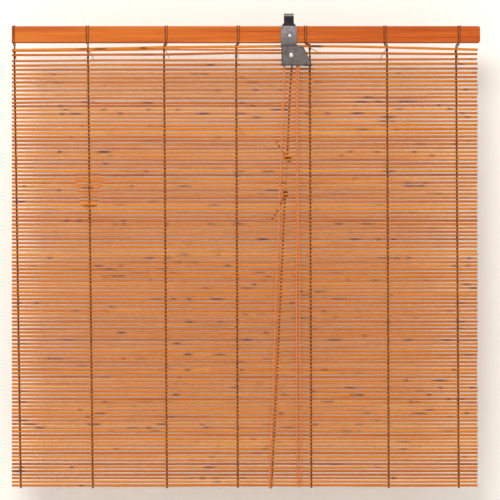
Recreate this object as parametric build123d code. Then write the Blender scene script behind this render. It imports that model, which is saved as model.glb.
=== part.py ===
from build123d import *

import os
from math import acos, cos, exp, pi, radians, sin, tan

# Bamboo roll-up blind: a wooden head rail, a woven mat of thin round sticks, and a steel
# hanger with a cord lock. Units are mm. The origin is the centre of the hanger's hook bend,
# X runs along the rail, the blind's face looks along -Y and Z is up.

# --- driving dimensions -------------------------------------------------------------------
rail_length = 600.0
rail_height = 21.4
rail_depth = 9.0
rail_end_round = 2.6          # rounding of the free right-hand end
rail_edge_round = 0.8
rail_left_of_hook = 355.0     # from the hook's middle to the rail's square left end

sheet_t = 1.2                 # steel sheet of the hanger and the lock
hook_inner_r = 3.2
hook_width = 12.6
hook_rise = 16.5              # from the rail's top edge to the hook's crown
hook_lip = 5.0                # how far the hook comes down behind the bend
shoulder_drop = 5.0           # height of the sloping shoulders under the hook
plate_width = 20.5

stick_d = 2.9
stick_count = 116
mat_length = 597.0
mat_gap = 5.5                 # clear height between the rail and the first stick
mat_drop = 563.2              # from the top of the first stick to the bottom of the last
strip_rows = (8, 9, 9, 8, 8, 8, 7, 7, 7, 6, 6, 6, 5, 5, 5, 4, 4, 4)  # sticks between bends

twine_d = 0.8
twine_clear = 0.05
twine_end = 0.7               # the strands reach this far past a strip's end sticks' middles
column_top = (-352.0, -257.5, -160.0, -67.5, 27.0, 126.0, 214.5)
column_bottom = (-343.6, -251.3, -156.2, -65.3, 29.0, 128.2, 218.0)
column_at_rail = (-352.3, -258.0, -157.0, -64.6, 21.5, 123.2, 218.2)

lock_top_drop = 5.2           # from the rail's bottom edge to the top of the lock
lock_height = 24.6
lock_left = -9.4
lock_top_right = 18.1
lock_bottom_right = 29.8
lock_depth = 8.4              # outside depth of the pressed shell
axle_x = 3.0
axle_down = 10.8              # from the lock's top to the pulley axle
axle_d = 3.6
axle_head_d = 6.2
rail_rivet_x = 1.3
rail_rivet_down = 12.2        # from the rail's top edge
rail_rivet_d = 3.4
rail_rivet_head_d = 5.4

cord_d = 2.3
pulley_groove_r = 6.85
pulley_rim_r = 8.0
pulley_width = 4.6
running_gap = 0.05            # pulley bore on its axle, radial
cord_lift = 0.25              # the round cord stands this far off the groove's floor
roller_d = 7.2                # the loose roller that wedges the cord
roller_length = 5.2
guide_pin_d = 2.4

# --- derived positions ---------------------------------------------------------------------
crown_z = hook_inner_r + sheet_t
rail_top = crown_z - hook_rise
rail_bottom = rail_top - rail_height
rail_left = -rail_left_of_hook
rail_right = rail_left + rail_length
strip_back_y = -hook_inner_r
strip_front_y = strip_back_y - sheet_t
rail_front_y = strip_back_y
rail_back_y = rail_front_y + rail_depth
mat_y = rail_front_y + rail_depth / 2
plate_front_y = strip_front_y - sheet_t

lock_top = rail_bottom - lock_top_drop
lock_bottom = lock_top - lock_height
lock_front_y = strip_front_y - lock_depth
axle_z = lock_top - axle_down
groove_line_r = pulley_groove_r + cord_d / 2 + cord_lift
pulley_y = strip_front_y - (lock_depth - sheet_t) / 2
rivet_z = rail_top - rail_rivet_down

stick_r = stick_d / 2
twine_r = twine_d / 2
weave_r = stick_r + twine_r + twine_clear
first_z = rail_bottom - mat_gap - stick_r
last_z = first_z - (mat_drop - stick_d)
mat_right = rail_left + mat_length


def row_levels():
    """Heights of the sticks: wide apart under the rail, then closing up towards the bottom."""
    steps = []
    for i in range(stick_count - 1):
        easing = 4.98 - 0.42 * i / stick_count + 1.5 * exp(-i / 5.0)
        unevenness = 0.10 * sin(2.4 * i) + 0.08 * sin(0.77 * i + 1.0)
        steps.append(easing + unevenness)
    scale = (first_z - last_z) / sum(steps)
    levels = [first_z]
    for step in steps:
        levels.append(levels[-1] - step * scale)
    return levels


levels = row_levels()
strips = []
row = 0
for rows in strip_rows:
    strips.append((row, row + rows - 1))
    row += rows
# each bend lies half-way between two neighbouring strips
bend_z = [(levels[b] + levels[b + 1]) / 2 for a, b in strips[:-1]]


def column_x(column, z):
    share = (first_z - z) / (first_z - last_z)
    return column_top[column] + (column_bottom[column] - column_top[column]) * share


def x_cylinder(x0, x1, y, z, r):
    return Location((x0, y, z), (0, 90, 0)) * Cylinder(
        r, x1 - x0, align=(Align.CENTER, Align.CENTER, Align.MIN)
    )


def y_cylinder(x, y0, y1, z, r):
    """A round bar along Y from y0 (front) to y1 (back)."""
    return Location((x, y0, z), (-90, 0, 0)) * Cylinder(
        r, y1 - y0, align=(Align.CENTER, Align.CENTER, Align.MIN)
    )


def box_between(x0, x1, y0, y1, z0, z1):
    return Pos((x0 + x1) / 2, (y0 + y1) / 2, (z0 + z1) / 2) * Box(x1 - x0, y1 - y0, z1 - z0)


def tube(points, radii, r):
    """A round cord along straight runs joined by tangent arcs."""
    path = FilletPolyline(*points, radius=radii) if len(points) > 2 else Line(*points)
    section = Plane(origin=path @ 0, z_dir=path % 0) * Circle(r)
    return sweep(section, path=path).solid()


def as_list(shape):
    return list(shape.solids())


parts = {}

# --- head rail -----------------------------------------------------------------------------
rail_profile = RectangleRounded(rail_depth, rail_height, rail_edge_round)
rail_plane = Plane(
    origin=(rail_left, mat_y, (rail_top + rail_bottom) / 2), x_dir=(0, 1, 0), z_dir=(1, 0, 0)
)
rail = extrude(rail_plane * rail_profile, amount=rail_length)
for level, towards in ((rail_top, -1), (rail_bottom, 1)):
    corner = box_between(
        rail_right - rail_end_round,
        rail_right + 1,
        rail_front_y - 1,
        rail_back_y + 1,
        min(level, level + towards * rail_end_round),
        max(level, level + towards * rail_end_round),
    )
    corner -= y_cylinder(
        rail_right - rail_end_round,
        rail_front_y - 2,
        rail_back_y + 2,
        level + towards * rail_end_round,
        rail_end_round,
    )
    rail -= corner
rail -= y_cylinder(rail_rivet_x, rail_front_y - 1, rail_back_y + 1, rivet_z, rail_rivet_d / 2)
parts["head_rail"] = [rail]

# --- hanger: hook, shoulders, strip over the rail's front and the back plate of the lock ---
strip_z_low = lock_bottom + 0.6
hook_half = hook_width / 2
plate_half = plate_width / 2
neck_low = rail_top + shoulder_drop - 1.0
outline = Polyline(
    (-hook_half, 0),
    (-hook_half, neck_low),
    (-plate_half, rail_top - 1.0),
    (-plate_half, lock_top - sheet_t),
    (lock_left + sheet_t + 0.1, lock_top - sheet_t),
    (lock_left + sheet_t + 0.1, strip_z_low),
    (lock_bottom_right - sheet_t - 0.6, strip_z_low),
    (lock_top_right - sheet_t - 0.1, lock_top - sheet_t),
    (plate_half, lock_top - sheet_t),
    (plate_half, rail_top - 1.0),
    (hook_half, neck_low),
    (hook_half, 0),
    close=True,
)
strip_plane = Plane(origin=(0, strip_back_y, 0), x_dir=(1, 0, 0), z_dir=(0, -1, 0))
hanger = extrude(strip_plane * make_face(outline), amount=sheet_t)
bend = x_cylinder(-hook_half, hook_half, 0, 0, hook_inner_r + sheet_t)
bend -= x_cylinder(-hook_half - 1, hook_half + 1, 0, 0, hook_inner_r)
bend -= box_between(-hook_half - 1, hook_half + 1, -10, 10, -10, 0)
hanger += bend
hanger += box_between(
    -hook_half, hook_half, hook_inner_r, hook_inner_r + sheet_t, -hook_lip, 0
)
hanger -= y_cylinder(rail_rivet_x, -10, 2, rivet_z, rail_rivet_d / 2)
hanger -= y_cylinder(axle_x, -10, 0, axle_z, axle_d / 2)
parts["hanger_strip"] = [hanger]

# --- lock shell: flat plate on the strip, stepping forward into a shell with folded sides ---
shell_plane = Plane(origin=(0, strip_front_y, 0), x_dir=(1, 0, 0), z_dir=(0, -1, 0))


def lock_prism(inset, depth, low):
    slope = (lock_bottom_right - lock_top_right) / lock_height
    aside = inset * (1 + slope**2) ** 0.5
    corners = (
        (lock_left + inset, lock_top - inset),
        (lock_top_right + inset * slope - aside, lock_top - inset),
        (lock_bottom_right + (lock_bottom - low) * slope - aside, low),
        (lock_left + inset, low),
    )
    return extrude(shell_plane * make_face(Polyline(*corners, close=True)), amount=depth)


shell = lock_prism(0, lock_depth, lock_bottom)
shell -= lock_prism(sheet_t, lock_depth - sheet_t, lock_bottom - 5)
shell += box_between(
    -plate_half, plate_half, plate_front_y, strip_front_y, lock_top - 0.5, rail_top
)
# the plate's step out to the shell
step_side = Polyline(
    (strip_front_y, lock_top + 2.4),
    (plate_front_y, lock_top + 2.4),
    (lock_front_y, lock_top - 2.0),
    (lock_front_y, lock_top - 3.4),
    (strip_front_y - 0.4, lock_top - 0.2),
    close=True,
)
step_plane = Plane(origin=(-plate_half + 0.9, 0, 0), x_dir=(0, 1, 0), z_dir=(1, 0, 0))
shell += extrude(step_plane * make_face(step_side), amount=plate_width - 1.8)
shell -= y_cylinder(rail_rivet_x, -30, 2, rivet_z, rail_rivet_d / 2)
shell -= y_cylinder(axle_x, -30, 0, axle_z, axle_d / 2)
# turned-in lip along part of the bottom keeps the loose roller in the shell
lip_left = 17.5
lip_right = lock_bottom_right - sheet_t
shell += box_between(
    lip_left, lip_right, lock_front_y, strip_front_y - 0.3, lock_bottom, lock_bottom + sheet_t
)
parts["lock_shell"] = [shell]


def rivet(x, z, r, head_r, head_y, tail_y, head_h=1.5):
    """A round-headed rivet: head in front, shank, and a flat upset tail behind."""
    body = y_cylinder(x, head_y - 0.05, tail_y + 0.05, z, r)
    ball_r = (head_r**2 + head_h**2) / (2 * head_h)
    dome = Pos(x, head_y + ball_r - head_h, z) * Sphere(ball_r)
    dome &= y_cylinder(x, head_y - head_h - 1, head_y, z, head_r)
    tail = y_cylinder(x, tail_y, tail_y + 0.9, z, head_r * 0.8)
    return body + dome + tail


parts["rail_rivet"] = [
    rivet(rail_rivet_x, rivet_z, rail_rivet_d / 2, rail_rivet_head_d / 2, plate_front_y, rail_back_y)
]
parts["pulley_axle"] = [
    rivet(axle_x, axle_z, axle_d / 2, axle_head_d / 2, lock_front_y, strip_back_y)
]

# --- pulley ---------------------------------------------------------------------------------
half_w = pulley_width / 2
wheel_half = Polyline(
    (axle_d / 2 + running_gap, -half_w),
    (pulley_rim_r, -half_w),
    (pulley_rim_r, -half_w + 0.5),
    (pulley_groove_r, -0.6),
    (pulley_groove_r, 0.6),
    (pulley_rim_r, half_w - 0.5),
    (pulley_rim_r, half_w),
    (axle_d / 2 + running_gap, half_w),
    close=True,
)
wheel = revolve(Plane.XZ * make_face(wheel_half), axis=Axis.Z)
wheel_at = Location((axle_x, pulley_y, axle_z), (-90, 0, 0))
parts["pulley_wheel"] = [(wheel_at * wheel).solid()]

# --- loose wedge roller and the guide pin under the slanted side ----------------------------
slant_run = lock_bottom_right - lock_top_right
slant_len = (slant_run**2 + lock_height**2) ** 0.5
slant_sin = slant_run / slant_len
slant_cos = lock_height / slant_len
roller_r = roller_d / 2
roller_z = lock_bottom + sheet_t + roller_r + 0.25
wall_x = lock_bottom_right - sheet_t / slant_cos - (roller_z - lock_bottom) * slant_run / lock_height
roller_x = wall_x - (roller_r + 0.3) / slant_cos
roller = y_cylinder(
    roller_x, pulley_y - roller_length / 2, pulley_y + roller_length / 2, roller_z, roller_r
)
knurls = 18
for k in range(knurls):
    turn = 2 * pi * k / knurls
    roller -= y_cylinder(
        roller_x + roller_r * cos(turn),
        pulley_y - roller_length,
        pulley_y + roller_length,
        roller_z + roller_r * sin(turn),
        0.3,
    )
parts["lock_roller"] = [roller]

guide_x = 13.0
guide_z = lock_bottom + 4.6
guide_pin = y_cylinder(
    guide_x, lock_front_y + sheet_t, strip_front_y, guide_z, guide_pin_d / 2
)
parts["guide_pin"] = [guide_pin]

# --- staple on the rail's back that the lift cord is tied to --------------------------------
staple_x = 9.0
staple_z = rail_bottom + 7.0
staple_half = 3.4
staple_out = 4.0
staple_path = [
    (staple_x - staple_half, rail_back_y - 4.0, staple_z),
    (staple_x - staple_half, rail_back_y + staple_out, staple_z),
    (staple_x + staple_half, rail_back_y + staple_out, staple_z),
    (staple_x + staple_half, rail_back_y - 4.0, staple_z),
]
staple = tube(staple_path, [1.2, 1.2], 0.7)
parts["cord_staple"] = [staple]
for side in (-1, 1):
    rail -= y_cylinder(
        staple_x + side * staple_half, rail_back_y - 4.0, rail_back_y + 1, staple_z, 0.7
    )
parts["head_rail"] = [rail]

# --- mat: sticks in strips --------------------------------------------------------------------
for n, (a, b) in enumerate(strips, start=1):
    parts[f"mat_strip_{n:02d}"] = [
        x_cylinder(rail_left, mat_right, mat_y, levels[i], stick_r) for i in range(a, b + 1)
    ]


def z_cylinder(x, y, z0, z1, r):
    return Pos(x, y, z0) * Cylinder(r, z1 - z0, align=(Align.CENTER, Align.CENTER, Align.MIN))


def twine_pair(column, a, b):
    """A twined pair through one strip: a strand before and one behind, crossing in each gap."""
    x = column_x(column, (levels[a] + levels[b]) / 2)
    top = levels[a] + twine_end
    low = levels[b] - twine_end
    pair = z_cylinder(x, mat_y - weave_r, low, top, twine_r)
    pair += z_cylinder(x, mat_y + weave_r, low, top, twine_r)
    for i in range(a, b):
        middle = (levels[i] + levels[i + 1]) / 2
        pair += y_cylinder(x, mat_y - weave_r, mat_y + weave_r, middle, 0.8 * twine_r)
    return pair.solid()


for n, (a, b) in enumerate(strips):
    solids = []
    for column in range(len(column_top)):
        solids.append(twine_pair(column, a, b))
        # the crossing that the next strip bends about, or the knot under the last stick
        last = n == len(strips) - 1
        z = last_z - stick_r - 0.75 if last else bend_z[n]
        x = column_x(column, z)
        solids.append(x_cylinder(x - 1.1, x + 1.1, mat_y, z, 0.68))
    parts[f"mat_twine_{n + 1:02d}"] = solids

# --- rail ties: each pair wraps the rail twice and is knotted behind the first gap ------------
tie_r = twine_r
knot_z = (levels[0] + levels[1]) / 2
knot_y = mat_y + weave_r + twine_r + 0.9
tail_reach = ((2.0, 9.0), (7.5, 12.5), (5.5, 9.5), (2.8, 14.0), (9.0, 4.0), (-9.0, 15.0), (3.0, 13.0))
for column in range(len(column_top)):
    top_x = column_at_rail[column]
    low_x = column_x(column, knot_z)
    front = rail_front_y - tie_r - 0.05
    back = rail_back_y + tie_r + 0.05
    over = rail_top + tie_r + 0.05
    pieces = Pos(low_x, knot_y, knot_z) * Sphere(1.7)
    for side in (-1, 1):
        lean = side * 1.35
        pieces += tube(
            [
                (low_x + side * 0.4, knot_y, knot_z),
                (low_x + side * 0.5, mat_y + weave_r + 0.2, levels[0] + 1.0),
                (top_x + side * 0.9, front, rail_bottom - 0.3),
                (top_x + lean, front, over),
                (top_x + lean, back, over),
                (top_x + side * 0.9, back, rail_bottom - 0.3),
                (low_x + side * 0.4, knot_y + 0.3, knot_z + 0.3),
            ],
            [0.9, 1.0, 0.95, 0.95, 1.0],
            tie_r,
        )
    reach, fall = tail_reach[column]
    tail_y = knot_y + 0.5
    pieces += tube(
        [
            (low_x, tail_y, knot_z),
            (low_x + reach * 0.55, tail_y + 0.4, knot_z - fall * 0.35),
            (low_x + reach, tail_y, knot_z - fall),
        ],
        [2.4],
        tie_r,
    )
    pieces += tube(
        [(low_x, tail_y, knot_z), (low_x - 0.8, tail_y + 0.3, knot_z - fall * 0.6)], None, tie_r
    )
    parts[f"rail_tie_{column + 1}"] = [pieces.solid()]

# --- lift cord ----------------------------------------------------------------------------------
cord_r = cord_d / 2
front_low_x = -24.8
front_low_y = mat_y - weave_r - twine_r - cord_r - 0.25
back_y = mat_y + weave_r + twine_r + cord_r + 0.25
turn_r = stick_r + cord_r + 0.15
cord_top_x = axle_x - groove_line_r
u_radius = (back_y - front_low_y) / 2
u_z = last_z - 0.4
cross_x = 3.0
front_run = [
    (cord_top_x, pulley_y, axle_z),
    (front_low_x, front_low_y, u_z),
    (front_low_x + 0.5, mat_y - 1.2, u_z - turn_r - 0.1),
    (front_low_x + cross_x - 0.5, mat_y + 1.2, u_z - turn_r - 0.1),
    (front_low_x + cross_x, back_y, u_z),
]
parts["lift_cord_front"] = [tube(front_run, [2.0, 1.3, 2.0], cord_r)]

back_low = (front_low_x + cross_x, back_y, u_z)
knot_up = (-1.8, back_y + 1.2, -182.0)
knot_low = (-4.6, back_y + 1.2, -226.0)
staple_end = (staple_x, rail_back_y + staple_out + 2.0, staple_z - 1.0)
upper_back = tube(
    [
        staple_end,
        (staple_x - 0.6, rail_back_y + 3.6, rail_bottom - 3.0),
        (2.0, back_y + 0.4, -72.0),
        knot_up,
    ],
    [12.0, 12.0],
    cord_r,
)
lower_back = tube([knot_low, back_low], None, cord_r)
staple_knot = Pos(*staple_end) * Sphere(2.7)
parts["lift_cord_back"] = [(upper_back + staple_knot).solid(), lower_back]

# --- mend in the back run: a thin pale cord between two knots with tails --------------------------
mend_r = 1.1
tail_r = 0.9
mend = Pos(*knot_up) * Sphere(3.3) + Pos(*knot_low) * Sphere(3.4)
mend += tube([knot_up, knot_low], None, mend_r)
tail_y = back_y + 1.4
mend += tube(
    [(-2.6, tail_y, -179.0), (-9.5, tail_y, -171.0), (-17.0, tail_y, -157.5)], [6.0], tail_r
)
mend += tube(
    [(-6.0, tail_y, -229.0), (-9.5, tail_y, -242.5), (-21.5, tail_y, -259.5)], [6.0], tail_r
)
parts["mend_cord"] = [mend.solid()]

# --- pull cord: over the pulley, down, round a bight and back up to the guide pin ------------------
top_z = axle_z + groove_line_r
corner = groove_line_r
pull_points = [
    (cord_top_x, pulley_y, axle_z),
    (cord_top_x, pulley_y, top_z),
    (axle_x + groove_line_r, pulley_y, top_z),
    (axle_x + groove_line_r, pulley_y, axle_z - 3.0),
    (9.6, pulley_y + 1.2, lock_bottom - 8.0),
    (9.8, -4.2, -118.0),
    (10.5, -4.0, -175.0),
    (10.9, -4.0, -232.0),
    (10.3, -4.0, -300.0),
    (9.9, -4.0, -370.0),
    (10.2, -4.0, -440.0),
    (9.9, -4.0, -500.0),
    (10.8, -4.0, -560.0),
    (11.6, -4.0, -597.0),
    (13.3, -4.0, -601.5),
    (15.2, -4.0, -597.0),
    (15.3, -4.0, -555.0),
    (15.0, -4.0, -500.0),
    (14.0, -4.0, -440.0),
    (13.9, -4.2, -375.0),
    (13.7, -4.3, -310.0),
    (12.7, -5.6, -250.0),
    (12.3, -6.4, -190.0),
    (12.4, -6.6, -130.0),
    (guide_x - 0.1, pulley_y, lock_bottom - 6.0),
    (guide_x, pulley_y, guide_z - 1.2 - cord_r),
]


def arc_radii(points):
    """Arc radii for a soft cord: 0.45 of the shorter run over the tangent of half the turn."""
    radii = []
    for before, at, after in zip(points, points[1:], points[2:]):
        u = Vector(*at) - Vector(*before)
        v = Vector(*after) - Vector(*at)
        turn = radians(u.get_angle(v))
        radii.append(min(0.45 * min(u.length, v.length) / max(tan(turn / 2), 1e-3), 250.0))
    return radii


pull_radii = arc_radii(pull_points)
pull_radii[0] = groove_line_r * 0.999
pull_radii[1] = groove_line_r * 0.999
print("pull cord arc radii:", [round(r, 1) for r in pull_radii])
parts["pull_cord"] = [tube(pull_points, pull_radii, cord_r)]

# --- files ------------------------------------------------------------------------------------------
os.makedirs("parts", exist_ok=True)
for name, solids in parts.items():
    flat = [s for shape in solids for s in as_list(shape)]
    body = flat[0] if len(flat) == 1 else Compound(children=flat)
    export_step(body, f"parts/{name}.step")
print(len(parts), "nodes,", sum(len(v) for v in parts.values()), "solids")
print("bends at", [round(z, 3) for z in bend_z])
print("rows", round(levels[0], 2), round(levels[-1], 2), "pitch", round(levels[0] - levels[1], 2))
print("roller", round(roller_x, 3), round(roller_z, 3), "axle", axle_x, round(axle_z, 3), "y", round(pulley_y, 3))
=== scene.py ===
import math

import bpy
import numpy as np
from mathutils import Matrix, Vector


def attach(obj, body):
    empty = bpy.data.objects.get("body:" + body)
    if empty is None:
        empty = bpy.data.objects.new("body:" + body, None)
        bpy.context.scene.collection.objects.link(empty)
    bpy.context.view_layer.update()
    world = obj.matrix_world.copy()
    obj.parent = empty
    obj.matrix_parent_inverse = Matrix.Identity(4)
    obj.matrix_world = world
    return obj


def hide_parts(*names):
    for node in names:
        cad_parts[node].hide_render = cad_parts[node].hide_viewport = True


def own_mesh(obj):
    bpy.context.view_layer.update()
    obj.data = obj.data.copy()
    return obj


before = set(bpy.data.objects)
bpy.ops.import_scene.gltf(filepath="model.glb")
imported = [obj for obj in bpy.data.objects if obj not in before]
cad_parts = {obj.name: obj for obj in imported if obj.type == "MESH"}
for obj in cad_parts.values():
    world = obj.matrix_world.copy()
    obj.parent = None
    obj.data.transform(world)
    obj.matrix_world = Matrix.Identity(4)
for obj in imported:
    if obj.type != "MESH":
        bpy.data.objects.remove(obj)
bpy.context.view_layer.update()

rng = np.random.default_rng(7)
MM = 0.001

# ---------------------------------------------------------------- sizes shared with the CAD, in mm
HOOK_R, SHEET, HOOK_RISE = 3.2, 1.2, 16.5
RAIL_TOP = HOOK_R + SHEET - HOOK_RISE
RAIL_H, RAIL_DEPTH = 21.4, 9.0
RAIL_BOTTOM = RAIL_TOP - RAIL_H
RAIL_FRONT, RAIL_BACK = -HOOK_R, -HOOK_R + RAIL_DEPTH
LEFT, MAT_WIDTH, MAT_DROP = -355.0, 597.0, 563.2
MAT_RIGHT = LEFT + MAT_WIDTH
RAIL_TO_MAT = 5.5
MAT_Y = -HOOK_R + RAIL_DEPTH / 2
STICK_R, TWINE_R = 1.45, 0.4
SHOWN_R = 1.53  # the sticks in the picture look a little thicker than the CAD's
WEAVE = STICK_R + TWINE_R + 0.05
ROWS = 116
FIRST = RAIL_BOTTOM - RAIL_TO_MAT - STICK_R
LAST = FIRST - (MAT_DROP - 2 * STICK_R)
# rows in each strip, then the x of each twine column at the first row, the last row and the rail
STRIPS = (8, 9, 9, 8, 8, 8, 7, 7, 7, 6, 6, 6, 5, 5, 5, 4, 4, 4)
COL_TOP = (-352.0, -257.5, -160.0, -67.5, 27.0, 126.0, 214.5)
COL_LOW = (-343.6, -251.3, -156.2, -65.3, 29.0, 128.2, 218.0)
COL_RAIL = (-352.3, -258.0, -157.0, -64.6, 21.5, 123.2, 218.2)
COLUMNS = len(COL_TOP)
AXLE = (3.0, -8.0, -49.5)
CORD_R = 1.15
GROOVE = 8.25  # radius at which a cord leaves the pulley


def row_levels():
    """Heights of the rows: wide steps at the top, closer lower down, with a slight unevenness."""
    steps = []
    for i in range(ROWS - 1):
        easing = 4.98 - 0.42 * i / ROWS + 1.5 * math.exp(-i / 5.0)
        steps.append(easing + 0.10 * math.sin(2.4 * i) + 0.08 * math.sin(0.77 * i + 1.0))
    scale = (FIRST - LAST) / sum(steps)
    out = [FIRST]
    for s in steps:
        out.append(out[-1] - s * scale)
    return out


LEVELS = row_levels()


def col_x(c, z):
    share = (FIRST - z) / (FIRST - LAST)
    return COL_TOP[c] + (COL_LOW[c] - COL_TOP[c]) * share


def smooth(t):
    t = np.clip(t, 0, 1)
    return t * t * (3 - 2 * t)


# ---------------------------------------------------------------- how far each stick strays
FLAW_X, FLAW_Z = -255.0, -218.0
FLAW_ROW = min(range(ROWS), key=lambda i: abs(LEVELS[i] - FLAW_Z))
# how far the rows round the flaw are pushed up at it, by their distance from the flawed row
FLAW_LIFT = {
    -4: 0.3, -3: 0.8, -2: 1.3, -1: 1.7, 0: 2.2, 1: -0.8, 2: 0.3, 3: 0.9, 4: 1.2, 5: 1.7, 6: 0.3,
}
CLOSE_Z = -107.0  # a row that sags onto the one below it
CLOSE_ROW = min(range(ROWS), key=lambda i: abs(LEVELS[i] - CLOSE_Z))
wander = [rng.normal(0, 1, 4) for _ in range(ROWS)]


def sag(i, x):
    """How far stick i lies above its level at x, in mm: the top rows bow, a few rows stray."""
    x = np.asarray(x, float)
    u = (x - LEFT) / MAT_WIDTH
    if i == 0:
        off = np.interp(u, [0, 0.17, 0.33, 0.48, 0.62, 0.73, 1.0], [-2.2, -0.6, 1.6, 2.2, 3.1, 2.6, -1.5])
    elif i == 1:
        off = np.interp(u, [0, 0.33, 0.48, 0.62, 1.0], [-2.0, -1.0, 0.8, 0.8, -0.5])
    else:
        low = np.interp(u, [0, 0.2, 0.5, 0.75, 1.0], [-3.3, -2.3, -2.0, -1.2, -0.6])
        off = low * math.exp(-(i - 2) / 16.0)
    if i == CLOSE_ROW:
        off = off - 1.0 * smooth((x + 262) / 20) * (1 - smooth((x + 20) / 40))
    a, b, c, d = wander[i]
    off = off + 0.13 * a * np.sin(u * 3.1 + b) + 0.10 * c * np.sin(u * 9.0 + d)
    off = off + 0.06 * b * np.sin(u * 23 + a)
    k = i - FLAW_ROW
    if k in FLAW_LIFT:
        left = FLAW_X - (15.0 if k < 2 else 10.0)
        right = FLAW_X + (12.0 if k < 2 else 7.0)
        off = off + FLAW_LIFT[k] * smooth((x - left + 5) / 6) * (1 - smooth((x - right) / 6))
    return off


# ---------------------------------------------------------------- mesh helpers
class Heap:
    """Gathers vertices, faces and per-vertex values of one object."""

    def __init__(self):
        self.v, self.f, self.a, self.n = [], [], {}, 0

    def add(self, verts, faces, **values):
        verts = np.asarray(verts, float)
        self.v.append(verts)
        self.f += [[k + self.n for k in face] for face in faces]
        for name, value in values.items():
            spread = np.broadcast_to(np.asarray(value, float), len(verts)).copy()
            self.a.setdefault(name, []).append(spread)
        self.n += len(verts)

    def build(self, name, mat):
        me = bpy.data.meshes.new(name)
        me.from_pydata((np.concatenate(self.v) * MM).tolist(), [], self.f)
        for key, chunks in self.a.items():
            me.attributes.new(key, "FLOAT", "POINT").data.foreach_set(
                "value", np.concatenate(chunks).astype(np.float32)
            )
        me.materials.append(mat)
        me.shade_smooth()
        ob = bpy.data.objects.new(name, me)
        bpy.context.collection.objects.link(ob)
        return ob


def grid_faces(rings, sides):
    out = []
    for i in range(rings - 1):
        for j in range(sides):
            k = (j + 1) % sides
            out.append([i * sides + j, i * sides + k, (i + 1) * sides + k, (i + 1) * sides + j])
    return out


def frames_along(path):
    """Tangents and two side directions carried along a path without twist."""
    path = np.asarray(path, float)
    t = np.gradient(path, axis=0)
    t /= np.linalg.norm(t, axis=1)[:, None]
    first = np.array([0, 0, 1.0]) if abs(t[0][2]) < 0.8 else np.array([0, 1.0, 0])
    u = np.zeros_like(path)
    u[0] = first - t[0] * (first @ t[0])
    u[0] /= np.linalg.norm(u[0])
    for i in range(1, len(path)):
        w = u[i - 1] - t[i] * (u[i - 1] @ t[i])
        u[i] = w / max(np.linalg.norm(w), 1e-9)
    return t, u, np.cross(t, u)


def add_tube(heap, path, radius, sides=8, rib=None, **values):
    """A closed tube. radius may vary along it, and rib(angles, ring numbers) scales it round the ring.
    A value is one number, one for each ring or one for each vertex."""
    path = np.asarray(path, float)
    t, u, w = frames_along(path)
    n = len(path)
    r = np.broadcast_to(np.asarray(radius, float), n)
    ang = np.arange(sides) * 2 * np.pi / sides
    scale = np.ones((n, sides)) if rib is None else rib(ang[None, :], np.arange(n)[:, None])
    rr = r[:, None] * scale
    ring = path[:, None, :] + rr[..., None] * (
        np.cos(ang)[None, :, None] * u[:, None, :] + np.sin(ang)[None, :, None] * w[:, None, :]
    )
    faces = grid_faces(n, sides)
    faces.append(list(range(sides))[::-1])
    faces.append([(n - 1) * sides + j for j in range(sides)])
    for key, value in values.items():
        if np.ndim(value) == 1:
            values[key] = np.repeat(value, sides)
        elif np.ndim(value) == 2:
            values[key] = np.ravel(value)
    heap.add(ring.reshape(-1, 3), faces, **values)


def soft_route(points, fine):
    """The smooth line of a route: a NURBS spline on its points, read back as Blender draws it."""
    curve = bpy.data.curves.new("route", "CURVE")
    curve.dimensions = "3D"
    spline = curve.splines.new("NURBS")
    spline.points.add(len(points) - 1)
    for p, at in zip(spline.points, points):
        p.co = (*at, 1.0)
    spline.order_u = min(3, len(points))
    spline.use_endpoint_u = True
    spline.resolution_u = fine
    ob = bpy.data.objects.new("route", curve)
    me = bpy.data.meshes.new_from_object(ob)
    line = np.array([v.co[:] for v in me.vertices], float)
    bpy.data.objects.remove(ob)
    bpy.data.curves.remove(curve)
    bpy.data.meshes.remove(me)
    keep = np.concatenate([[True], np.linalg.norm(np.diff(line, axis=0), axis=1) > 1e-4])
    return line[keep]


def run_along(path):
    """The distance from the path's start to each of its points."""
    return np.concatenate([[0], np.cumsum(np.linalg.norm(np.diff(path, axis=0), axis=1))])


def add_twist(heap, path, ply_r, apart, lay, **values):
    """Two plies laid round a path as a twisted cord."""
    path = np.asarray(path, float)
    t, u, w = frames_along(path)
    s = run_along(path)
    for k in range(2):
        a = 2 * np.pi * (s / lay + k / 2)
        centre = path + apart * (np.cos(a)[:, None] * u + np.sin(a)[:, None] * w)
        add_tube(heap, centre, ply_r, 5, **values)


def fray(heap, path, count, wild, reach, radii):
    """Loose fibres at the end of a path. reach says how far back they start, bend and end."""
    tip, before = path[-1], path[-3]
    away = (tip - before) / np.linalg.norm(tip - before)
    for _ in range(count):
        turn = away + wild * rng.normal(0, 1, 3)
        ends = [tip - away * reach[0], tip + turn * reach[1], tip + turn * reach[2]]
        add_tube(heap, ends, radii, 4, tone=0.8)


# ---------------------------------------------------------------- materials
def material(name):
    m = bpy.data.materials.new(name)
    m.use_nodes = True
    nt = m.node_tree
    nt.nodes.clear()
    out = nt.nodes.new("ShaderNodeOutputMaterial")
    bsdf = nt.nodes.new("ShaderNodeBsdfPrincipled")
    nt.links.new(bsdf.outputs[0], out.inputs["Surface"])
    return m, nt, bsdf


def node(nt, kind, **sets):
    n = nt.nodes.new(kind)
    for key, value in sets.items():
        setattr(n, key, value)
    return n


def mapped(nt, scale):
    tc = node(nt, "ShaderNodeTexCoord")
    mp = node(nt, "ShaderNodeMapping")
    mp.inputs["Scale"].default_value = scale
    nt.links.new(tc.outputs["Object"], mp.inputs["Vector"])
    return mp.outputs["Vector"]


def object_axes(nt):
    """The object coordinates, and the same split into X, Y and Z, in metres."""
    tc = node(nt, "ShaderNodeTexCoord")
    sep = node(nt, "ShaderNodeSeparateXYZ")
    nt.links.new(tc.outputs["Object"], sep.inputs[0])
    return tc.outputs["Object"], sep.outputs


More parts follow.
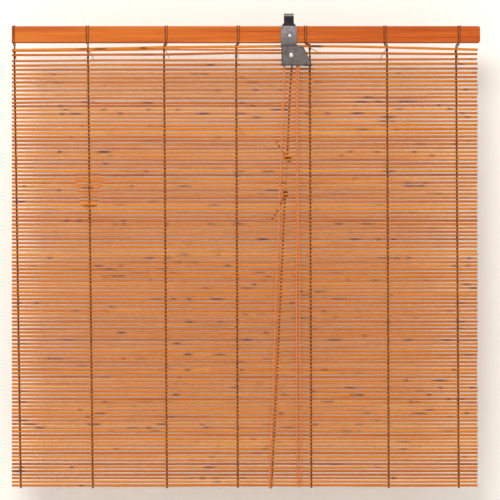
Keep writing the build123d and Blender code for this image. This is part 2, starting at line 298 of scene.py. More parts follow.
def map_range(nt, value, low, high, to_low=0.0, to_high=1.0):
    m = node(nt, "ShaderNodeMapRange")
    m.inputs["From Min"].default_value = low
    m.inputs["From Max"].default_value = high
    m.inputs["To Min"].default_value = to_low
    m.inputs["To Max"].default_value = to_high
    nt.links.new(value, m.inputs["Value"])
    return m.outputs[0]


def noise(nt, vector, scale, detail, rough):
    n = node(nt, "ShaderNodeTexNoise")
    n.inputs["Scale"].default_value = scale
    n.inputs["Detail"].default_value = detail
    n.inputs["Roughness"].default_value = rough
    nt.links.new(vector, n.inputs["Vector"])
    return n.outputs["Fac"]


def ramp(nt, fac, stops):
    r = node(nt, "ShaderNodeValToRGB")
    while len(r.color_ramp.elements) < len(stops):
        r.color_ramp.elements.new(0.5)
    for e, (pos, col) in zip(r.color_ramp.elements, stops):
        e.position = pos
        e.color = (*col, 1)
    nt.links.new(fac, r.inputs["Fac"])
    return r.outputs["Color"]


def mix(nt, fac, a, b, mode="MIX"):
    m = node(nt, "ShaderNodeMix", data_type="RGBA", blend_type=mode)
    for value, sock in ((fac, m.inputs[0]), (a, m.inputs[6]), (b, m.inputs[7])):
        if isinstance(value, (int, float)):
            sock.default_value = value
        elif isinstance(value, tuple):
            sock.default_value = (*value, 1)
        else:
            nt.links.new(value, sock)
    return m.outputs[2]


def attribute(nt, name):
    a = node(nt, "ShaderNodeAttribute")
    a.attribute_name = name
    return a.outputs["Fac"]


def math_node(nt, op, a, b):
    m = node(nt, "ShaderNodeMath", operation=op)
    for value, sock in ((a, m.inputs[0]), (b, m.inputs[1])):
        if isinstance(value, (int, float)):
            sock.default_value = value
        else:
            nt.links.new(value, sock)
    return m.outputs[0]


def bump(nt, bsdf, height, strength, distance):
    b = node(nt, "ShaderNodeBump")
    b.inputs["Strength"].default_value = strength
    b.inputs["Distance"].default_value = distance
    nt.links.new(height, b.inputs["Height"])
    nt.links.new(b.outputs["Normal"], bsdf.inputs["Normal"])


def grey(level):
    return (level,) * 3


def principled(m):
    """A finished material's shader, and what its base colour comes from."""
    bsdf = next(n for n in m.node_tree.nodes if n.type == "BSDF_PRINCIPLED")
    return bsdf, bsdf.inputs["Base Color"].links[0].from_socket


def stick_material():
    m, nt, bsdf = material("stick_bamboo")
    tone = attribute(nt, "tone")
    streak = attribute(nt, "streak")
    long_grain = noise(nt, mapped(nt, (9, 500, 500)), 1.0, 4, 0.6)
    fine = noise(nt, mapped(nt, (60, 1500, 1500)), 1.0, 3, 0.6)
    fac = math_node(nt, "MULTIPLY", long_grain, 0.55)
    fac = math_node(nt, "ADD", fac, math_node(nt, "MULTIPLY", tone, 0.62))
    fac = math_node(nt, "SUBTRACT", fac, 0.12)
    col = ramp(
        nt,
        fac,
        [
            (0.05, (0.30, 0.055, 0.003)),
            (0.30, (0.50, 0.115, 0.004)),
            (0.50, (0.65, 0.180, 0.006)),
            (0.72, (0.78, 0.265, 0.011)),
            (0.95, (0.86, 0.38, 0.04)),
        ],
    )
    wear_and_sheen = ramp(nt, fine, [(0.3, (0.55, 0.5, 0.48)), (0.7, grey(1.0))])
    col = mix(nt, 0.35, col, wear_and_sheen, "MULTIPLY")
    col = mix(nt, streak, col, (0.13, 0.018, 0.005))
    spots = noise(nt, mapped(nt, (1, 1, 1)), 210.0, 2, 0.5)
    dark = ramp(nt, spots, [(0.66, grey(0)), (0.76, grey(1))])
    col = mix(nt, math_node(nt, "MULTIPLY", dark, 0.45), col, (0.24, 0.045, 0.012))
    nt.links.new(col, bsdf.inputs["Base Color"])
    rough = ramp(nt, fine, [(0.2, grey(0.34)), (0.8, grey(0.52))])
    nt.links.new(rough, bsdf.inputs["Roughness"])
    bsdf.inputs["Specular IOR Level"].default_value = 0.18
    bump(nt, bsdf, long_grain, 0.25, 0.0003)
    return m


def rail_material():
    m, nt, bsdf = material("rail_wood")
    broad = noise(nt, mapped(nt, (4.0, 40, 130)), 1.0, 3, 0.55)
    grain = noise(nt, mapped(nt, (7.0, 300, 620)), 1.0, 5, 0.65)
    fine = noise(nt, mapped(nt, (30.0, 900, 2600)), 1.0, 4, 0.6)
    fac = math_node(nt, "MULTIPLY", broad, 0.55)
    fac = math_node(nt, "ADD", fac, math_node(nt, "MULTIPLY", grain, 0.5))
    col = ramp(
        nt,
        fac,
        [
            (0.30, (0.36, 0.060, 0.004)),
            (0.43, (0.50, 0.100, 0.006)),
            (0.55, (0.61, 0.150, 0.009)),
            (0.70, (0.68, 0.205, 0.018)),
        ],
    )
    at, axes = object_axes(nt)
    # redder towards the right-hand end
    red = mix(nt, 0.9, col, (0.86, 0.62, 0.42), "MULTIPLY")
    col = mix(nt, map_range(nt, axes["X"], -0.30, 0.24), col, red)
    fine_col = ramp(nt, fine, [(0.35, (0.72, 0.62, 0.55)), (0.62, grey(1))])
    col = mix(nt, 0.55, col, fine_col, "MULTIPLY")
    # four darker figures in the wood: where each lies, its half sizes and its strength
    for cx, cz, wide, tall, amount in (
        (-0.165, -0.0205, 0.020, 0.0035, 0.55),
        (0.232, -0.0215, 0.014, 0.005, 0.5),
        (-0.02, -0.030, 0.05, 0.0018, 0.3),
        (0.10, -0.0165, 0.06, 0.0014, 0.25),
    ):
        mp = node(nt, "ShaderNodeMapping")
        mp.inputs["Location"].default_value = (-cx / wide, 0, -cz / tall)
        mp.inputs["Scale"].default_value = (1 / wide, 0, 1 / tall)
        nt.links.new(at, mp.inputs["Vector"])
        length = node(nt, "ShaderNodeVectorMath", operation="LENGTH")
        nt.links.new(mp.outputs["Vector"], length.inputs[0])
        uneven = math_node(nt, "ADD", length.outputs["Value"], math_node(nt, "MULTIPLY", grain, 0.9))
        mask = ramp(nt, uneven, [(0.45, grey(amount)), (1.0, grey(0))])
        col = mix(nt, mask, col, (0.36, 0.06, 0.012))
    # painted shade: darker along the lower edge, where the rail's rounded underside lies in shade
    low = map_range(nt, axes["Z"], (RAIL_BOTTOM + 0.2) * MM, (RAIL_BOTTOM + 1.3) * MM, 0.85, 0.0)
    col = mix(nt, low, col, (0.17, 0.02, 0.006))
    nt.links.new(col, bsdf.inputs["Base Color"])
    nt.links.new(ramp(nt, fine, [(0.2, grey(0.36)), (0.8, grey(0.5))]), bsdf.inputs["Roughness"])
    bsdf.inputs["Specular IOR Level"].default_value = 0.2
    bump(nt, bsdf, grain, 0.2, 0.0004)
    return m


def thread_material(name, dark, light, scale=900.0):
    m, nt, bsdf = material(name)
    tone = attribute(nt, "tone")
    fuzz = noise(nt, mapped(nt, (1, 1, 1)), scale, 3, 0.6)
    fac = math_node(nt, "MULTIPLY", fuzz, 0.6)
    fac = math_node(nt, "ADD", fac, math_node(nt, "MULTIPLY", tone, 0.5))
    nt.links.new(ramp(nt, fac, [(0.25, dark), (0.8, light)]), bsdf.inputs["Base Color"])
    bsdf.inputs["Roughness"].default_value = 0.8
    bsdf.inputs["Specular IOR Level"].default_value = 0.25
    bump(nt, bsdf, fuzz, 0.5, 0.0002)
    return m


def metal_material(name, dark, light, rough_low, rough_high, metallic, spots=0.0):
    m, nt, bsdf = material(name)
    cloud = noise(nt, mapped(nt, (1, 1, 1)), 160.0, 5, 0.65)
    brushed = noise(nt, mapped(nt, (1500, 400, 140)), 1.0, 3, 0.6)
    fac = math_node(nt, "MULTIPLY", cloud, 0.75)
    fac = math_node(nt, "ADD", fac, math_node(nt, "MULTIPLY", brushed, 0.28))
    col = ramp(nt, fac, [(0.35, dark), (0.68, light)])
    if spots:
        pit = noise(nt, mapped(nt, (1, 1, 1)), 620.0, 2, 0.5)
        col = mix(nt, ramp(nt, pit, [(0.62, grey(0)), (0.72, grey(spots))]), col, (0.05, 0.03, 0.025))
    nt.links.new(col, bsdf.inputs["Base Color"])
    bsdf.inputs["Metallic"].default_value = metallic
    rough = ramp(nt, brushed, [(0.3, grey(rough_low)), (0.7, grey(rough_high))])
    nt.links.new(rough, bsdf.inputs["Roughness"])
    bump(nt, bsdf, brushed, 0.12, 0.0002)
    return m


# the plate's folded edges, in mm: its left side, its bottom, the line of its slanted right side
# (x + slope * z) and the height where the folds start
PLATE_LEFT, PLATE_LOW, PLATE_SLOPE, PLATE_ASIDE, PLATE_TOP = -8.2, -62.1, 0.4756, -1.45, -39.2


def plate_material():
    """Grey-brown plate with a painted highlight at its top that fades downwards, and painted shade along
    its folded edges.
    """
    m = metal_material(
        "lock_grey_steel", (0.070, 0.055, 0.050), (0.165, 0.135, 0.125), 0.36, 0.52, 0.45, 0.35
    )
    nt = m.node_tree
    bsdf, base = principled(m)
    at, axes = object_axes(nt)
    # painted highlight: the plate is painted paler towards its top, where it catches the light
    cloudy = noise(nt, mapped(nt, (1, 1, 1)), 260.0, 4, 0.6)
    top_highlight = ramp(nt, cloudy, [(0.3, (0.15, 0.125, 0.12)), (0.7, (0.33, 0.28, 0.27))])
    light = mix(nt, map_range(nt, axes["Z"], -0.036, -0.012), base, top_highlight)
    # painted shade: the folded sides and bottom, which lie in shade, are painted nearly black
    x_mm = math_node(nt, "MULTIPLY", axes["X"], 1000.0)
    z_mm = math_node(nt, "MULTIPLY", axes["Z"], 1000.0)
    slant = math_node(nt, "ADD", x_mm, math_node(nt, "MULTIPLY", z_mm, PLATE_SLOPE))
    right = math_node(nt, "GREATER_THAN", slant, PLATE_ASIDE)
    left = math_node(nt, "LESS_THAN", x_mm, PLATE_LEFT)
    low = math_node(nt, "LESS_THAN", z_mm, PLATE_LOW)
    shaded_edges = math_node(nt, "MAXIMUM", math_node(nt, "MAXIMUM", right, left), low)
    shaded_edges = math_node(nt, "MULTIPLY", shaded_edges, math_node(nt, "LESS_THAN", z_mm, PLATE_TOP))
    light = mix(nt, math_node(nt, "MULTIPLY", shaded_edges, 0.9), light, (0.012, 0.010, 0.010))
    nt.links.new(light, bsdf.inputs["Base Color"])
    return m


def hook_material():
    """Dark steel with a painted highlight on the crown of the hook."""
    m = metal_material("hanger_dark_steel", (0.006, 0.005, 0.005), (0.03, 0.026, 0.025), 0.22, 0.45, 0.6)
    nt = m.node_tree
    bsdf, base = principled(m)
    at, axes = object_axes(nt)
    # painted highlight: a pale band, broken up by noise, on the hook's top bend where the light catches
    # it
    wear_and_sheen = noise(nt, mapped(nt, (1, 1, 1)), 500.0, 3, 0.6)
    crown_highlight = math_node(nt, "MULTIPLY", map_range(nt, axes["Z"], 0.0006, 0.0014), wear_and_sheen)
    nt.links.new(mix(nt, crown_highlight, base, (0.42, 0.38, 0.36)), bsdf.inputs["Base Color"])
    return m


MAT_STICK = stick_material()
MAT_RAIL = rail_material()
MAT_TWINE = thread_material("twine_brown", (0.008, 0.0015, 0.0008), (0.24, 0.055, 0.012))
MAT_TIE = thread_material("tie_brown", (0.05, 0.013, 0.004), (0.26, 0.075, 0.022))
MAT_CORD = thread_material("cord_orange", (0.34, 0.07, 0.014), (0.72, 0.24, 0.075), 1400.0)
# painted shade: the lift cord's orange painted dark where its back run and knots lie in shade behind the
# mat
MAT_CORD_SHADED = thread_material("cord_maroon", (0.05, 0.008, 0.004), (0.17, 0.035, 0.015), 1400.0)
MAT_PALE = thread_material("cord_pale", (0.62, 0.56, 0.45), (0.95, 0.91, 0.80), 1400.0)
MAT_HOOK = hook_material()
MAT_PLATE = plate_material()
MAT_RIVET = metal_material("rivet_bright", (0.62, 0.61, 0.58), (0.92, 0.91, 0.88), 0.12, 0.28, 1.0)
MAT_STEEL = metal_material("pulley_steel", (0.25, 0.24, 0.22), (0.5, 0.49, 0.46), 0.25, 0.45, 1.0)

for name, mat in (
    ("head_rail", MAT_RAIL),
    ("hanger_strip", MAT_HOOK),
    ("lock_shell", MAT_PLATE),
    ("rail_rivet", MAT_RIVET),
    ("pulley_axle", MAT_RIVET),
    ("guide_pin", MAT_STEEL),
    ("cord_staple", MAT_STEEL),
    ("pulley_wheel", MAT_STEEL),
    ("lock_roller", MAT_STEEL),
):
    ob = bpy.data.objects[name]
    ob.data.materials.clear()
    ob.data.materials.append(mat)
for name in ("hanger_strip", "lock_shell"):
    # bent sheet: only its sharp edges are broken, by 0.28 mm
    bev = bpy.data.objects[name].modifiers.new("edge", "BEVEL")
    bev.width = 0.00028
    bev.segments = 2
    bev.limit_method = "ANGLE"
    bev.angle_limit = math.radians(40)

# ---------------------------------------------------------------- sticks
STRIP_ENDS = np.cumsum(STRIPS)
STRIP_OF = np.searchsorted(STRIP_ENDS, np.arange(ROWS), side="right")
STICK_STEP, FLAW_STEP = 3.2, 1.1  # distance between a stick's rings, in mm
STICK_SIDES = 10
heaps = [Heap() for _ in STRIPS]


def body_of(n):
    return "rail" if n == 0 else f"strip_{n + 1:02d}"


def add_stick(heap, i, x0, x1, tone, thick=1.0, lift=None, seed=0):
    """One round stick of row i from x0 to x1. lift(x) takes the place of the row's own heights."""
    local = np.random.default_rng(1000 + 31 * i + seed)
    xs = np.append(np.arange(x0, x1, STICK_STEP), x1)
    if i - FLAW_ROW in FLAW_LIFT or lift is not None:
        xs = np.unique(np.concatenate([xs, np.arange(FLAW_X - 26, FLAW_X + 24, FLAW_STEP)]))
        xs = xs[(xs >= x0) & (xs <= x1)]
    z = LEVELS[i] + sag(i, xs) if lift is None else lift(xs)
    y = MAT_Y + 0.12 * np.sin(xs / 70.0 + local.uniform(0, 6))
    y = y + 0.05 * np.sin(xs / 17 + local.uniform(0, 6))
    swell = 0.045 * np.sin(xs / 46 + local.uniform(0, 6))
    swell = swell + 0.03 * np.sin(xs / 13 + local.uniform(0, 6))
    r = SHOWN_R * thick * (1 + swell)
    streak = np.zeros_like(xs)
    shade = np.zeros_like(xs)
    # joints of the cane: a slight swelling and a dark ring
    for _ in range(local.poisson(1.1)):
        at = local.uniform(x0 + 5, x1 - 5)
        near = np.exp(-(((xs - at) / 2.6) ** 2))
        r = r * (1 + 0.10 * near)
        streak = np.maximum(streak, 0.75 * np.exp(-(((xs - at) / 2.2) ** 2)))
    # dark streaks of bark
    for _ in range(local.poisson(2.4)):
        at, half = local.uniform(x0, x1), local.uniform(2.5, 9.0)
        streak = np.maximum(streak, local.uniform(0.25, 0.75) * np.exp(-(((xs - at) / half) ** 4)))
    # golden stretches
    for _ in range(local.poisson(1.6)):
        at, half = local.uniform(x0, x1), local.uniform(12, 70)
        shade = shade + local.uniform(-0.22, 0.28) * np.exp(-(((xs - at) / half) ** 2))
    flat = local.uniform(0, 6.28)

    def rib(ang, ring):
        return 1 + 0.05 * np.cos(2 * (ang - flat)) + 0.02 * np.cos(5 * ang + ring * 0.02)

    ang = np.arange(STICK_SIDES) * 2 * np.pi / STICK_SIDES
    side_shade = 0.10 * np.cos(ang[None, :] * 3 + local.uniform(0, 6) + xs[:, None] / 60)
    edge = np.clip(streak[:, None] * (0.7 + 0.6 * np.cos(ang[None, :] - flat)), 0, 1)
    tones = np.clip(tone + shade[:, None] + side_shade, 0, 1.2)
    add_tube(heap, np.column_stack([xs, y, z]), r, STICK_SIDES, rib, tone=tones, streak=edge)


row_tones = np.clip(rng.normal(0.55, 0.14, ROWS), 0.1, 1.0)
for i in range(ROWS):
    heap = heaps[STRIP_OF[i]]
    right = MAT_RIGHT + rng.uniform(-0.7, 0.3)
    thick = 1 + rng.normal(0, 0.045)
    add_stick(heap, i, LEFT, right, row_tones[i], thick)
# a split stick lies under the first one and ends behind the lock
SPLIT_END = -2.0


def split_lift(x):
    return LEVELS[0] + np.interp(x, [-355, -255, -157, -68, 0], [-3.2, -2.6, -1.3, -1.9, -1.9])


add_stick(heaps[0], 0, LEFT, SPLIT_END, 0.5, 0.82, split_lift, 3)
# a split-off sliver beside the flawed twine column, and a second short one lower down
UPPER, LOWER = FLAW_ROW, FLAW_ROW + 5


def upper_lift(x):
    dip = smooth((x - FLAW_X + 19) / 6) * (1 - smooth((x - FLAW_X - 10) / 6))
    return LEVELS[UPPER] + 0.6 - 2.6 * dip


def lower_lift(x):
    return LEVELS[LOWER] + 0.2 - 1.3 * smooth((x - FLAW_X + 12) / 5)


add_stick(heaps[STRIP_OF[UPPER]], UPPER, FLAW_X - 19.5, FLAW_X + 16.5, 0.55, 0.86, upper_lift, 5)
add_stick(heaps[STRIP_OF[LOWER]], LOWER, FLAW_X - 12.5, FLAW_X + 9.0, 0.25, 0.8, lower_lift, 9)

for n, heap in enumerate(heaps):
    ob = heap.build(f"sticks_{n + 1:02d}", MAT_STICK)
    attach(ob, body_of(n))
    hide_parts(f"mat_strip_{n + 1:02d}")

# ---------------------------------------------------------------- twined warp
TWINE_STEPS = 12  # points of a strand from one row to the next
STRAND_HANG = 4.4  # how far the strands reach below the last row, a step of the mat


def stick_z(i, x):
    return float(LEVELS[i] + sag(i, x))


def twine_strand(heap, c, strand, first, lo, hi):
    """One of the two strands of column c, from lo to hi steps past the row called first."""
    pts, width, shade = [], [], []
    for k in range(lo, hi):
        row = first + k / TWINE_STEPS
        i0 = int(np.clip(math.floor(row), 0, ROWS - 1))
        i1 = min(i0 + 1, ROWS - 1)
        f = row - i0
        x0 = col_x(c, LEVELS[i0])
        z0, z1 = stick_z(i0, x0), stick_z(i1, x0)
        z = z0 + (z1 - z0) * f if i0 != i1 else z0 - STRAND_HANG * f
        phase = math.pi * (row + strand)
        y = MAT_Y + (WEAVE - 0.02) * math.cos(phase) * (1 - 0.06 * math.cos(2 * phase))
        x = x0 + 0.60 * math.sin(phase) + 0.12 * math.sin(row * 1.7 + c)
        pts.append((x, y, z))
        # thin where it lies over a stick, thick where the strands cross
        width.append(0.38 + 0.34 * abs(math.sin(phase)))
        # painted light: the strand is lighter where it lies in front over a stick and nearly black in the
        # gaps, where it lies in shade
        shade.append(max(0.0, -math.cos(phase)) ** 1.5)
    add_tube(heap, pts, np.array(width), 6, tone=np.array(shade))


for n in range(len(STRIPS)):
    heap = Heap()
    first = int(STRIP_ENDS[n]) - STRIPS[n]
    # a strip's strands reach half a row past its first and last rows, less a quarter at the end
    lo = -4 if n == 0 else -6
    hi = TWINE_STEPS * STRIPS[n] - 3 + (0 if n == len(STRIPS) - 1 else 6)
    for c in range(COLUMNS):
        for strand in (0, 1):
            twine_strand(heap, c, strand, first, lo, hi)
    if n == len(STRIPS) - 1:
        # the strands end in a turn under the last stick
        for c in range(COLUMNS):
            x = col_x(c, LAST)
            loop = [
                (x + 0.75 * math.cos(t), MAT_Y + 0.75 * math.sin(t), LAST - STICK_R - 1.25 + 0.14 * t)
                for t in np.linspace(0, 9, 26)
            ]
            add_tube(heap, loop, 0.42, 6, tone=0.4)
    ob = heap.build(f"twine_{n + 1:02d}", MAT_TWINE)
    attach(ob, body_of(n))
    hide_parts(f"mat_twine_{n + 1:02d}")

# ---------------------------------------------------------------- rail ties
KNOT_Z = (LEVELS[0] + LEVELS[1]) / 2
KNOT_Y = MAT_Y + WEAVE + TWINE_R + 0.6
TIE_OFF = 0.42  # from the rail's faces to a tie's middle
# how far the longer tail of each tie reaches sideways and hangs
TAILS = ((2.0, 9.0), (7.5, 12.5), (5.5, 9.5), (2.8, 14.0), (9.0, 4.0), (-9.0, 15.0), (3.0, 13.0))
for c in range(COLUMNS):
    heap = Heap()
    top, low = COL_RAIL[c], col_x(c, KNOT_Z)
    kz = stick_z(0, low) - 2.8
    front, back = RAIL_FRONT - TIE_OFF, RAIL_BACK + TIE_OFF
    over = RAIL_TOP + TIE_OFF
    for side in (-1, 1):
        lean = side * (0.7 if c == 0 else 1.3)
        route = [
            (low + side * 0.3, KNOT_Y, kz),
            (low + side * 0.4, MAT_Y + WEAVE + 0.2, kz + 3.2),
            (low + side * 0.7, MAT_Y - 1.0, RAIL_BOTTOM - 2.6),
            (top + side * 1.0, front, RAIL_BOTTOM - 0.4),
            (top + side * 1.1, front, RAIL_BOTTOM + 1.2),
            (top + lean, front, RAIL_BOTTOM + 9.0),
            (top + lean * 1.1, front, over - 1.0),
            (top + lean * 1.1, front, over),
            (top + lean * 1.1, front + 1.0, over),
            (top + lean, back - 1.0, over),
            (top + lean, back, over),
            (top + lean, back, over - 1.0),
            (top + side * 1.0, back, RAIL_BOTTOM + 1.2),
            (top + side * 0.9, back, RAIL_BOTTOM - 0.4),
            (low + side * 0.5, KNOT_Y + 0.4, kz + 1.2),
        ]
        add_twist(heap, soft_route(route, 5), 0.38, 0.30, 1.9, tone=0.6 + 0.2 * side)
    # the knot: two turns lying over each other
    for tilt, size in ((0.5, 1.25), (-0.6, 1.05)):
        turn = [
            (
                low + size * math.cos(t) * 1.15,
                KNOT_Y + 0.35 + 0.9 * math.sin(t) * 0.8,
                kz + size * 0.7 * math.sin(t + tilt) + 0.3 * math.cos(2 * t),
            )
            for t in np.linspace(0, 2 * math.pi * 1.15, 26)
        ]
        add_twist(heap, turn, 0.30, 0.20, 2.2, tone=0.4)
    reach, fall = TAILS[c]
    ty = KNOT_Y + 0.35
    tails = [
        [
            (low, ty, kz),
            (low + reach * 0.35, ty + 0.7, kz - 1.0),
            (low + reach * 0.7, ty + 0.5, kz - fall * 0.45),
            (low + reach, ty, kz - fall),
        ],
        [(low, ty, kz), (low - 0.9, ty + 0.5, kz - fall * 0.3), (low - 0.5, ty + 0.4, kz - fall * 0.55)],
    ]
    for tail in tails:
        path = soft_route(tail, 10)
        add_twist(heap, path, 0.27, 0.20, 2.1, tone=0.5)
        fray(heap, path, 4, 0.35, (0.3, 0.7, 1.5), [0.11, 0.09, 0.04])
    ob = heap.build(f"tie_{c + 1}", MAT_TIE)
    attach(ob, "rail")
    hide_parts(f"rail_tie_{c + 1}")

# ---------------------------------------------------------------- cords
BRAID_LAY = 3.4


def braid(heap, path, radius):
    """A round cord with the raised crossings of a braid, painted darker in the valleys between them as
    shade.
    """
    path = np.asarray(path, float)
    s = run_along(path)
    sides = 12
    ang = np.arange(sides) * 2 * np.pi / sides
    a = np.cos(3 * ang[None, :] + 2 * np.pi * s[:, None] / BRAID_LAY)
    b = np.cos(3 * ang[None, :] - 2 * np.pi * s[:, None] / BRAID_LAY)
    raised = np.maximum(a, b)
    # painted shade: the valleys between the crossings are darker
    tones = 0.15 + 0.42 * (raised + 1)
    add_tube(heap, path, radius, sides, lambda t, k: 0.93 + 0.085 * raised, tone=tones)


# the lift cord goes down the front, round the last stick and up the back
LOW_X, BACK_X = -24.8, -21.8
FRONT_Y = MAT_Y - WEAVE - TWINE_R - CORD_R - 0.25
BACK_Y = MAT_Y + WEAVE + TWINE_R + CORD_R + 0.25
U_Z = LAST - 0.4
TURN = STICK_R + CORD_R + 0.15
heap = Heap()
front_route = [
    (AXLE[0] - GROOVE, AXLE[1], AXLE[2]),
    (-24.2, FRONT_Y, U_Z + 18),
    (LOW_X, FRONT_Y, U_Z),
    (LOW_X + 0.5, MAT_Y - 1.2, U_Z - TURN - 0.1),
    (LOW_X + 2.5, MAT_Y + 1.2, U_Z - TURN - 0.1),
    (BACK_X, BACK_Y, U_Z),
]
front_path = soft_route(front_route, 160)
braid(heap, front_path, CORD_R)
front_cord = heap.build("cord_front", MAT_CORD)
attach(front_cord, "rail")
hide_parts("lift_cord_front")

# the back run and its staple knot use the dark copy of the orange cord, as painted shade
STAPLE = (9.0, RAIL_BACK + 6.0, RAIL_BOTTOM + 6.0)
KNOT_UP = (-1.8, BACK_Y + 1.2, -182.0)
KNOT_LOW = (-4.6, BACK_Y + 1.2, -226.0)
heap = Heap()
up_path = soft_route(
    [STAPLE, (8.4, RAIL_BACK + 3.6, RAIL_BOTTOM - 3.0), (2.0, BACK_Y + 0.4, -72.0), KNOT_UP], 60
)
braid(heap, up_path, CORD_R * 0.95)
back_top = heap.build("cord_back_top", MAT_CORD_SHADED)
heap = Heap()
for t0, size in ((0.0, 2.2), (1.3, 1.9)):
    turn = [
        (
            STAPLE[0] + size * math.cos(t + t0),
            STAPLE[1] + 1.0 * math.sin(t),
            STAPLE[2] + size * 0.75 * math.sin(t + 2 * t0) + 0.4,
        )
        for t in np.linspace(0, 2.2 * math.pi, 34)
    ]
    add_tube(heap, turn, 0.9, tone=0.5)
staple_knot = heap.build("staple_knot", MAT_CORD_SHADED)
heap = Heap()
low_middle = ((KNOT_LOW[0] + BACK_X) / 2 + 0.6, BACK_Y + 0.6, -414.0)
low_path = soft_route([KNOT_LOW, low_middle, (BACK_X, BACK_Y, U_Z)], 200)
braid(heap, low_path, CORD_R * 0.95)
back_low = heap.build("cord_back_low", MAT_CORD_SHADED)
for ob in (back_top, staple_knot, back_low):
    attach(ob, "rail")
    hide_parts("lift_cord_back")

# the mend: a pale cord between two untidy knots of the old one
heap = Heap()
mend_middle = ((KNOT_UP[0] + KNOT_LOW[0]) / 2 + 0.4, KNOT_UP[1], -204.0)
mend_path = soft_route([KNOT_UP, mend_middle, KNOT_LOW], 26)
braid(heap, mend_path, CORD_R)
mend = heap.build("mend", MAT_PALE)
knots = []
# the old cord's knots and tails use the dark copy of the orange cord, as painted shade
for label, at, turns, tail in (
    (
        "knot_up", KNOT_UP, ((0.2, 3.9, 1.6), (1.4, 3.1, 2.3), (2.6, 2.4, 3.2)),
        [(-2.6, BACK_Y + 1.4, -179.0), (-9.5, BACK_Y + 1.0, -171.0), (-17.5, BACK_Y + 0.6, -157.5)],
    ),
    (
        "knot_low", KNOT_LOW, ((0.5, 3.1, 1.5), (1.9, 2.3, 2.4), (2.9, 1.8, 3.3)),
        [(-6.0, BACK_Y + 1.4, -229.0), (-9.5, BACK_Y + 1.0, -242.5), (-21.8, BACK_Y + 0.6, -259.5)],
    ),
):
    heap = Heap()
    for t0, wide, tall in turns:
        turn = [
            (
                at[0] + 1.0 + wide * math.cos(t + t0),
                at[1] + 0.9 * math.sin(2 * t + t0),
                at[2] + tall * math.sin(t) + 1.0 * math.cos(t0 * 3),
            )
            for t in np.linspace(0, 2.15 * math.pi, 40)
        ]
        add_tube(heap, turn, 0.78, tone=0.4 + 0.1 * math.cos(t0))
    path = soft_route(tail, 14)
    braid(heap, path, 0.85)
    fray(heap, path, 7, 0.4, (0.4, 0.8, 1.8), [0.16, 0.12, 0.048])
    knots.append(heap.build(label, MAT_CORD_SHADED))
for ob, name in ((mend, "cord_pale"), (knots[0], "cord_maroon"), (knots[1], "cord_maroon")):
    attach(ob, "rail")
    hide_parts("mend_cord")

# the pull cord goes over the pulley, down the front, round its bight and up to the guide pin
heap = Heap()
hang = [
    (AXLE[0] - GROOVE, AXLE[1], AXLE[2]),
    (AXLE[0] - GROOVE, AXLE[1], AXLE[2] + GROOVE),
    (AXLE[0] + GROOVE, AXLE[1], AXLE[2] + GROOVE),
    (AXLE[0] + GROOVE, AXLE[1], AXLE[2] - 3.0),
    (9.6, AXLE[1] + 1.2, -71.3),
    (9.8, -4.2, -118.0),
    (10.5, -4.0, -175.0),
    (10.9, -4.0, -232.0),
    (10.3, -4.0, -300.0),
    (9.9, -4.0, -370.0),
    (10.2, -4.0, -440.0),
    (9.9, -4.0, -500.0),
    (10.8, -4.0, -560.0),
    (11.4, -4.0, -597.0),
    (13.3, -4.0, -603.6),
    (15.2, -4.0, -597.0),
    (15.3, -4.0, -555.0),
    (15.0, -4.0, -500.0),
    (14.0, -4.0, -440.0),
    (13.9, -4.2, -375.0),
    (13.7, -4.3, -310.0),
    (11.9, -6.2, -250.0),
    (10.9, -6.6, -190.0),
    (10.1, -7.0, -130.0),
    (12.4, AXLE[1], -72.0),
    (13.0, AXLE[1], -61.0),
]
pull_path = soft_route(hang, 54)
braid(heap, pull_path, CORD_R)
pull = heap.build("cord_pull", MAT_CORD)
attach(pull, "rail")
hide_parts("pull_cord")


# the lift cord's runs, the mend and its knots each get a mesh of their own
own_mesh(front_cord)
for ob in (back_top, back_low, mend, *knots):
    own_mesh(ob)

# ---------------------------------------------------------------- wall, floor, light, camera
def plane(name, corners, mat):
    me = bpy.data.meshes.new(name)
    me.from_pydata(corners, [], [(0, 1, 2, 3)])
    me.materials.append(mat)
    ob = bpy.data.objects.new(name, me)
    bpy.context.collection.objects.link(ob)
    return ob


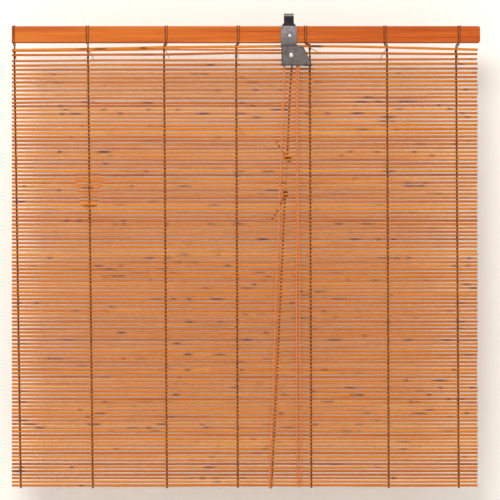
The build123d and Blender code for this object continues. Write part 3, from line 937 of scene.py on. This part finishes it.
# the wall is clear from behind, so that a view from there shows the blind's back
m, nt, bsdf = material("wall_white")
bsdf.inputs["Base Color"].default_value = (0.94, 0.91, 0.84, 1)
bsdf.inputs["Roughness"].default_value = 0.9
clear = node(nt, "ShaderNodeBsdfTransparent")
geo = node(nt, "ShaderNodeNewGeometry")
choose = node(nt, "ShaderNodeMixShader")
out = next(n for n in nt.nodes if n.type == "OUTPUT_MATERIAL")
nt.links.new(geo.outputs["Backfacing"], choose.inputs[0])
nt.links.new(bsdf.outputs[0], choose.inputs[1])
nt.links.new(clear.outputs[0], choose.inputs[2])
nt.links.new(choose.outputs[0], out.inputs["Surface"])
WALL_Y, WALL_TOP, FLOOR_Z = 0.082, 2.0, -0.78
wall = plane(
    "wall",
    [(-3, WALL_Y, FLOOR_Z), (3, WALL_Y, FLOOR_Z), (3, WALL_Y, WALL_TOP), (-3, WALL_Y, WALL_TOP)],
    m,
)
m, nt, bsdf = material("floor_pale")
bsdf.inputs["Base Color"].default_value = (0.86, 0.86, 0.85, 1)
bsdf.inputs["Roughness"].default_value = 0.8
floor = plane("floor", [(-4, -4, FLOOR_Z), (4, -4, FLOOR_Z), (4, 4, FLOOR_Z), (-4, 4, FLOOR_Z)], m)


def area(name, at, to, size, power):
    data = bpy.data.lights.new(name, "AREA")
    data.shape = "RECTANGLE"
    data.size, data.size_y = size
    data.energy = power
    ob = bpy.data.objects.new(name, data)
    ob.location = at
    ob.rotation_euler = (Vector(to) - Vector(at)).to_track_quat("-Z", "Y").to_euler()
    bpy.context.collection.objects.link(ob)


area("key", (-0.6, -2.2, 1.25), (-0.05, 0, -0.25), (1.3, 1.0), 52)
area("fill", (1.6, -2.4, 0.2), (-0.05, 0, -0.3), (2.0, 2.0), 12)
world = bpy.data.worlds.new("studio")
world.use_nodes = True
sky = world.node_tree.nodes["Background"]
sky.inputs["Color"].default_value = (1, 1, 1, 1)
sky.inputs["Strength"].default_value = 0.42
bpy.context.scene.world = world

# the camera looks straight at the mat's middle from 3 m, and its picture is 641 mm wide there
VIEW_X, VIEW_Z, VIEW_WIDTH, DISTANCE = -49.7416, -298.8834, 641.0, 3.0
SENSOR = 36
cam_data = bpy.data.cameras.new("camera")
cam_data.sensor_width = SENSOR
cam_data.lens = SENSOR * DISTANCE / (VIEW_WIDTH * MM)
cam_data.clip_start = 0.05
cam = bpy.data.objects.new("camera", cam_data)
cam.location = (VIEW_X * MM, -DISTANCE, VIEW_Z * MM)
cam.rotation_euler = (math.radians(90), 0, 0)
bpy.context.collection.objects.link(cam)
bpy.context.scene.camera = cam
bpy.context.scene.view_settings.view_transform = "Standard"
